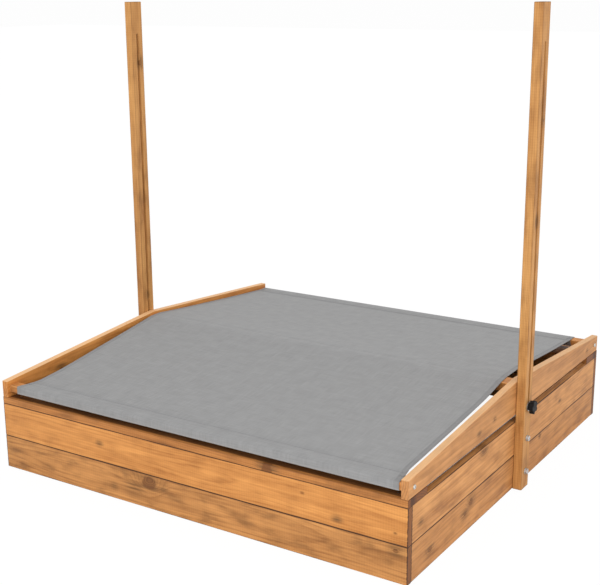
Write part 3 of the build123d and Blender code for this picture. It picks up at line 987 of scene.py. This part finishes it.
    def columns_across(self) -> list[tuple[float, float, float, float]]:
        """Columns of the sheet from the inner edge of the left hem, over the top, to that of the right.

        Returns:
            For each column its share of the width, its inset from the side edge, its height off the cloth
            and its distance from the side edge.
        """
        gap = self.fold_gap
        side = [(self.hem_width * share, -gap, self.hem_width * share) for share in self.hem_shares]
        side += [(-gap / 2 * math.sin(math.radians(a)), -gap / 2 * (1 - math.cos(math.radians(a))), 0.0)
                 for a in self.fold_angles]
        left = [(0.0, inset, height, off) for inset, height, off in side]
        right = [(1.0, -inset, height, off) for inset, height, off in reversed(side)]
        top = [(k / self.columns, 0.0, 0.0, min(k, self.columns - k) / self.columns * self.width)
               for k in range(self.columns + 1)]
        return left + top + right

    def build_sheet(self) -> bpy.types.Object:
        """Model the sheet, with its folded side hems, as one continuous piece.

        Returns:
            The sheet's object.
        """
        columns = self.columns_across()
        points, flat, hems = [], [], []
        last = len(self.rows) - 1
        for number, row in enumerate(self.rows):
            before, after = self.rows[max(0, number - 1)], self.rows[min(last, number + 1)]
            normal = Vector((0.0, before.z - after.z, after.y - before.y)).normalized()
            left, right = self.reach(row)
            for share, inset, height, off in columns:
                x = left + (right - left) * share + inset
                points.append(self.place(row, x) + normal * height)
                over = -2 * inset if height else 0.0
                flat.append((x + over, self.lengths[number]))
                hems.append(off)
        wide = len(columns)
        faces = [(r * wide + c, r * wide + c + 1, (r + 1) * wide + c + 1, (r + 1) * wide + c)
                 for r in range(last) for c in range(wide - 1)]
        mesh = bpy.data.meshes.new("cover_sheet")
        mesh.from_pydata([tuple(p) for p in points], [], faces)
        layer = mesh.uv_layers.new(name="cloth")
        for loop in mesh.loops:
            layer.data[loop.index].uv = flat[loop.vertex_index]
        mesh.attributes.new("hem_distance", "FLOAT", "POINT").data.foreach_set("value", hems)
        sheet = bpy.data.objects.new("cover_sheet", mesh)
        bpy.context.scene.collection.objects.link(sheet)
        bpy.ops.object.select_all(action="DESELECT")
        sheet.select_set(True)
        bpy.context.view_layer.objects.active = sheet
        solid = sheet.modifiers.new("cloth_thickness", "SOLIDIFY")
        solid.thickness = self.thickness
        solid.offset = 0
        bpy.ops.object.modifier_apply(modifier=solid.name)
        bpy.ops.object.shade_smooth_by_angle(angle=self.crease)
        return sheet

    def model_stitch(self) -> bpy.types.Object:
        """Shape one stitch: a short thread, thinner at its ends, which dip into the cloth.

        Returns:
            The stitch, along X, its middle at the origin.
        """
        bpy.ops.object.select_all(action="DESELECT")
        bpy.ops.mesh.primitive_cylinder_add(
            vertices=self.stitch_sides, radius=self.stitch_width / 2, depth=self.stitch_length,
            end_fill_type="TRIFAN", rotation=(0, math.pi / 2, 0))
        stitch = bpy.context.object
        bpy.ops.object.transform_apply(rotation=True)
        bpy.ops.object.mode_set(mode="EDIT")
        for cut in (-self.stitch_cut, self.stitch_cut):
            bpy.ops.mesh.select_all(action="SELECT")
            bpy.ops.mesh.bisect(plane_co=(cut * self.stitch_length, 0, 0), plane_no=(1, 0, 0))
        for side in (-1, 1):
            bpy.ops.mesh.select_all(action="DESELECT")
            bpy.ops.object.mode_set(mode="OBJECT")
            for vertex in stitch.data.vertices:
                vertex.select = vertex.co.x * side > self.stitch_tip * self.stitch_length
            bpy.ops.object.mode_set(mode="EDIT")
            bpy.ops.transform.resize(value=(1, self.stitch_taper, self.stitch_taper))
            bpy.ops.transform.translate(value=(0, 0, -self.stitch_dip))
        bpy.ops.object.mode_set(mode="OBJECT")
        bpy.ops.object.shade_smooth()
        return stitch

    def at(self, y: float) -> Row:
        """Find the top of the cloth above a line.

        Args:
            y: Place along Y.

        Returns:
            A row there, between the rows of the sheet.
        """
        low, high = self.front_low, self.front_high
        tops = [row for row in self.rows if row.z > high.z and abs(row.y) < abs(low.y)]
        tops = sorted((row for row in tops if not self.is_tail(row)), key=lambda row: row.y)
        for before, after in zip(tops, tops[1:]):
            if before.y <= y <= after.y and after.y > before.y:
                share = (y - before.y) / (after.y - before.y)
                height = before.z + (after.z - before.z) * share
                slack = before.slack + (after.slack - before.slack) * share
                return Row(y, height, slack, before.sleeve and after.sleeve)
        return tops[0] if y < 0 else tops[-1]

    def is_tail(self, row: Row) -> bool:
        """Say whether a row is on the tail that runs back under the cloth."""
        return row.sleeve and abs(row.y) < abs(self.front_high.y) - self.tail_margin

    def sleeve_stitches(self) -> list[tuple[Vector, Matrix]]:
        """Lay out the zigzag seams that close the two sleeves.

        Returns:
            The place and the turn of each stitch.
        """
        spots = []
        for side in (-1, 1):
            seam = self.at(side * (abs(self.front_high.y) - self.seam_near - self.zigzag_start))
            left, right = self.reach(seam)
            for number in range(int((right - left - self.zigzag_start) / self.stitch_pitch)):
                x = left + self.zigzag_start + self.stitch_pitch * number
                swing = self.zigzag * (1 if number % 2 else -1)
                spots.append((self.place(seam, x), Matrix.Rotation(swing, 4, "Z")))
        return spots

    def hem_stitches(self) -> list[tuple[Vector, Matrix]]:
        """Lay out the straight seams that hold the two side hems.

        Returns:
            The place and the turn of each stitch.
        """
        spots = []
        step = self.stitch_pitch * self.hem_pitch_share
        reach = abs(self.front_low.y) - self.tail_margin
        for number in range(int(2 * reach / step)):
            here = self.at(-reach + step * number)
            there = self.at(-reach + step * (number + self.hem_heading_share))
            for edge in (0, 1):
                inset = (self.hem_width - self.hem_stitch_inset) * (1 - 2 * edge)
                start = self.place(here, self.reach(here)[edge] + inset)
                heading = self.place(there, self.reach(there)[edge] + inset) - start
                spots.append((start + heading / 2, heading.to_track_quat("X", "Z").to_matrix().to_4x4()))
        return spots

    def build_stitching(self) -> bpy.types.Object:
        """Sew the sleeves and the side hems, each stitch a copy of one.

        Returns:
            The object of all the stitches.
        """
        stitch = self.model_stitch()
        lift = Vector((0, 0, self.thickness / 2 + self.stitch_width * self.stitch_sink))
        copies = []
        for spot, turn in self.sleeve_stitches() + self.hem_stitches():
            copy = stitch.copy()
            copy.data = stitch.data.copy()
            copy.matrix_world = Matrix.Translation(spot + lift) @ turn
            bpy.context.scene.collection.objects.link(copy)
            copies.append(copy)
        bpy.data.objects.remove(stitch)
        bpy.ops.object.select_all(action="DESELECT")
        for copy in copies:
            copy.select_set(True)
        stitching = copies[0]
        bpy.context.view_layer.objects.active = stitching
        bpy.ops.object.join()
        bpy.ops.object.transform_apply()
        stitching.name = stitching.data.name = "cover_stitching"
        return stitching

    def weave(self) -> bpy.types.Material:
        """Make the cloth's material, with paler lines drawn along its folds and painted shade along its
        seams.

        Returns:
            The finished material.
        """
        total = self.lengths[-1]
        run = list(zip(self.lengths, self.rows))
        seam = next(s for s, row in run if not row.sleeve and row.y > self.front_high.y + self.seam_near)
        lip = next(s for s, row in run if row.y < self.front_low.y + self.lip_reach)
        folds = {total / 2: self.ridge_pale_line, lip: self.front_pale_line, total - lip: self.rear_pale_line}
        seams = {seam: self.front_seam_shade, total - seam: self.rear_seam_shade}
        return CoatedOxford().build(folds, seams)

    def build(self) -> None:
        sheet = self.build_sheet()
        stitching = self.build_stitching()
        sheet.data.materials.append(self.weave())
        stitching.data.materials.append(TwistedThread().build())
        for piece in (sheet, stitching):
            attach(piece, "cover")
            log.info("%s: %d faces", piece.name, len(piece.data.polygons))
        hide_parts("cover_fabric")
        log.info("cloth length %.3f m", self.lengths[-1])


@dataclass(frozen=True)
class Lamp:
    """A soft square lamp: where it hangs, how wide it is in metres, and its power in watts."""

    name: str
    place: Place
    width: float
    power: float


@dataclass(frozen=True)
class Studio:
    """Pale floor, white surroundings, soft lamps and the camera.

    The floor is staged. Under the closed cover its glow fades as painted shade, except in a painted lit strip
    round X = lit_strip beside the cloth.
    """

    eye: Place = (1.5861, -2.5440, 1.2297)
    yaw: float = 32.782
    pitch: float = 75.028
    roll: float = -0.406
    lens: float = 67.93
    sensor: float = 36.0
    view_depth: float = 300.0
    lamps: tuple[Lamp, ...] = (
        Lamp("front_lamp", (1.5, -3.5, 2.0), 2.4, 48), Lamp("side_lamp", (3.6, -1.6, 1.8), 2.4, 14))
    lamp_target: Place = (0.0, 0.0, 0.2)
    surround: float = 0.985
    floor_size: float = 60.0
    floor_drop: float = 0.2 * MM
    floor_grain: float = 1 / 3
    glow: float = 0.955
    glow_inside: float = 0.08
    lit_strip: float = 0.27
    strip_fade: tuple[float, float] = (0.07, 0.105)
    inside: float = 0.58
    roof_reach: float = 0.6
    roof_fade: tuple[float, float] = (0.55, 0.85)

    def shade_floor(self, shader: Shader, axes: Input) -> bpy.types.Node:
        """Find the floor that lies under the cover and outside the painted lit strip, where painted shade
        dims the glow.

        Args:
            shader: The floor's material.
            axes: The node that splits the floor's place into X, Y and Z.

        Returns:
            A mask, nearly full where a low cover shades the floor.
        """
        add = shader.add
        aside, deep = [add("Math", axes.outputs[axis], operation="ABSOLUTE") for axis in "XY"]
        roofed = add("AmbientOcclusion", sockets={"Distance": self.roof_reach}, samples=4)
        shade = add("Math", 1.0, roofed.outputs["AO"], operation="SUBTRACT")
        lit = add("Math", axes.outputs["X"], self.lit_strip, operation="SUBTRACT")
        lit = add("Math", lit, operation="ABSOLUTE")
        for mask in (add("MapRange", lit, *self.strip_fade, interpolation_type="SMOOTHSTEP"),
                     add("Math", aside, self.inside, operation="LESS_THAN"),
                     add("Math", deep, self.inside, operation="LESS_THAN")):
            shade = add("Math", shade, mask, operation="MULTIPLY")
        return shade

    def build_floor(self) -> None:
        """Lay the floor: matt white board that glows in direct view, so that no shadow turns grey."""
        bpy.ops.object.select_all(action="DESELECT")
        bpy.ops.mesh.primitive_plane_add(size=self.floor_size, location=(0, 0, -self.floor_drop))
        floor = bpy.context.object
        floor.name = "studio_floor"
        shader = Shader("studio_floor")
        place = shader.add("TexCoord").outputs["Object"]
        grain = shader.add("TexNoise", sockets={
            "Vector": place, "Scale": 1 / self.floor_grain, "Detail": 2.0})
        colour = shader.add("ValToRGB", grain, stops=[(0.3, "#efefef"), (0.7, "#f5f5f5")])
        board = shader.add("BsdfPrincipled", sockets={"Base Color": colour, "Roughness": 0.9})
        shade = self.shade_floor(shader, shader.add("SeparateXYZ", place))
        strength = shader.add("MapRange", shade, *self.roof_fade, self.glow, self.glow * self.glow_inside)
        glow = shader.add("Emission", linear("#ffffff"), strength)
        seen = shader.add("AddShader", shader.add("BsdfDiffuse", linear("#404040")), glow)
        direct = shader.add("LightPath").outputs["Is Camera Ray"]
        floor.data.materials.append(shader.close(shader.add("MixShader", direct, board, seen)))

    def build_lamp(self, lamp: Lamp) -> None:
        """Hang one lamp, turned towards the object.

        Args:
            lamp: The lamp.
        """
        data = bpy.data.lights.new(lamp.name, "AREA")
        data.size = lamp.width
        data.energy = lamp.power
        panel = bpy.data.objects.new(lamp.name, data)
        panel.location = lamp.place
        heading = Vector(self.lamp_target) - Vector(lamp.place)
        panel.rotation_euler = heading.to_track_quat("-Z", "Y").to_euler()
        bpy.context.scene.collection.objects.link(panel)

    def build_world(self) -> None:
        """Surround the scene with even white."""
        world = bpy.data.worlds.new("white_surround")
        world.use_nodes = True
        background = world.node_tree.nodes["Background"]
        background.inputs["Color"].default_value = (1.0, 1.0, 1.0, 1.0)
        background.inputs["Strength"].default_value = self.surround
        bpy.context.scene.world = world

    def build_camera(self) -> None:
        """Set up the camera a little above the box, off its front right corner."""
        data = bpy.data.cameras.new("camera")
        data.lens = self.lens
        data.sensor_width = self.sensor
        data.clip_end = self.view_depth
        camera = bpy.data.objects.new("camera", data)
        camera.matrix_world = Matrix.Translation(self.eye)
        for angle, axis in ((self.yaw, "Z"), (self.pitch, "X"), (self.roll, "Z")):
            camera.matrix_world = camera.matrix_world @ Matrix.Rotation(math.radians(angle), 4, axis)
        bpy.context.scene.collection.objects.link(camera)
        bpy.context.scene.camera = camera

    def build(self) -> None:
        """Set up the whole studio."""
        self.build_floor()
        self.build_world()
        for lamp in self.lamps:
            self.build_lamp(lamp)
        self.build_camera()
        bpy.context.scene.view_settings.view_transform = "Standard"


def main() -> None:
    """Build every sub-assembly in order."""
    logging.basicConfig(level=logging.INFO, format="%(name)s: %(message)s")
    Studio().build()
    PlankBox().dress()
    SlottedPosts().dress()
    CoverFrame().dress()
    Hardware().dress()
    FabricCover().build()
    bpy.context.view_layer.update()


if __name__ == "__main__":
    main()
